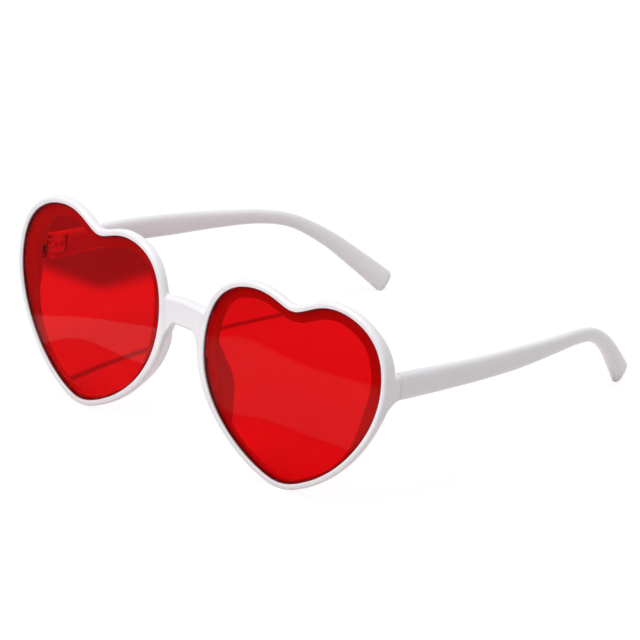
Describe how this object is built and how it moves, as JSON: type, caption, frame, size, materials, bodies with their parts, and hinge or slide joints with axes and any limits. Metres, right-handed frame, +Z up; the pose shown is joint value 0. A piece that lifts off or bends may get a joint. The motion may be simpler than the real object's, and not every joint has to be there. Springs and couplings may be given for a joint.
{
  "type": "heart shaped sunglasses",
  "caption": "Pair of sunglasses with heart shaped tinted lenses in a moulded front, and temples that fold on leaf hinges.",
  "frame": {"origin": "middle of the footprint, on the table that the open pair stands on", "axes": "+X towards the wearer's left, +Y from the front back to the ear tips, +Z up"},
  "size_m": [0.1388, 0.1584, 0.0591],
  "materials": {
    "frame_plastic": "white moulded plastic, polished",
    "lens_tint": "clear plastic dyed red, polished on both faces",
    "hinge_steel": "stamped steel, nickel plated",
    "screw_steel": "turned steel"
  },
  "bodies": {
    "front": {"front_frame": "frame_plastic", "lens_left": "lens_tint", "lens_right": "lens_tint", "front_leaf_left": "hinge_steel", "front_leaf_right": "hinge_steel", "hinge_screw_left": "screw_steel", "hinge_screw_right": "screw_steel", "front_leaf_screws_left": "screw_steel", "front_leaf_screws_right": "screw_steel"},
    "left_temple": {"temple_left": "frame_plastic", "temple_leaf_left": "hinge_steel", "temple_leaf_screws_left": "screw_steel"},
    "right_temple": {"temple_right": "frame_plastic", "temple_leaf_right": "hinge_steel", "temple_leaf_screws_right": "screw_steel"}
  },
  "joints": [
    {"name": "left_temple_fold", "type": "hinge", "parent": "front", "child": "left_temple", "pos_m": [0.0647, -0.06413, 0.03754], "axis": [0, 0, 1], "range_deg": [0, 86]},
    {"name": "right_temple_fold", "type": "hinge", "parent": "front", "child": "right_temple", "pos_m": [-0.0647, -0.06413, 0.03754], "axis": [0, 0, -1], "range_deg": [0, 81]}
  ]
}
